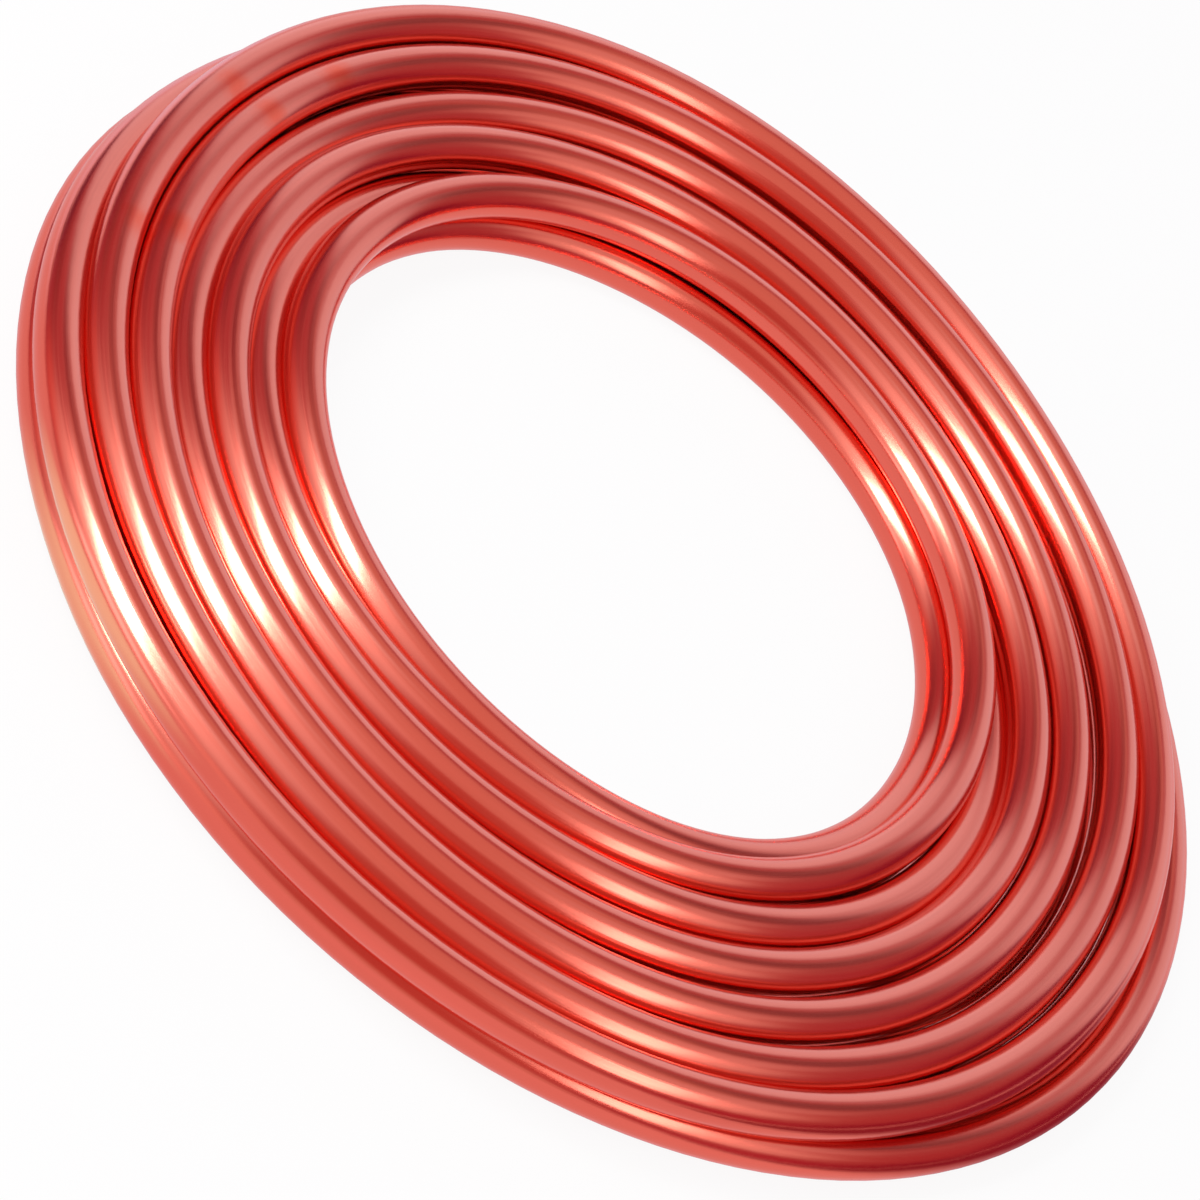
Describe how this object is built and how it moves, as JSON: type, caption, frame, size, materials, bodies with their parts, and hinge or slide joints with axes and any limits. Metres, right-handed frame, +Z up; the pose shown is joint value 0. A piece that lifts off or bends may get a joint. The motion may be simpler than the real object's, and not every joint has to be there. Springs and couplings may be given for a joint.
{
  "type": "copper tube coil",
  "caption": "Flat coil of soft drawn copper tube, wound in two layers round an open bore, to be unrolled and cut for pipework.",
  "frame": {"origin": "on the bore's axis, in the plane that the coil lies on", "axes": "+Z up along the bore's axis; +X and +Y across the coil, which is round, so neither is special"},
  "size_m": [0.2932, 0.2932, 0.02],
  "materials": {
    "copper": "bright drawn copper"
  },
  "bodies": {
    "root": {"tube_coil": "copper"}
  },
  "joints": []
}
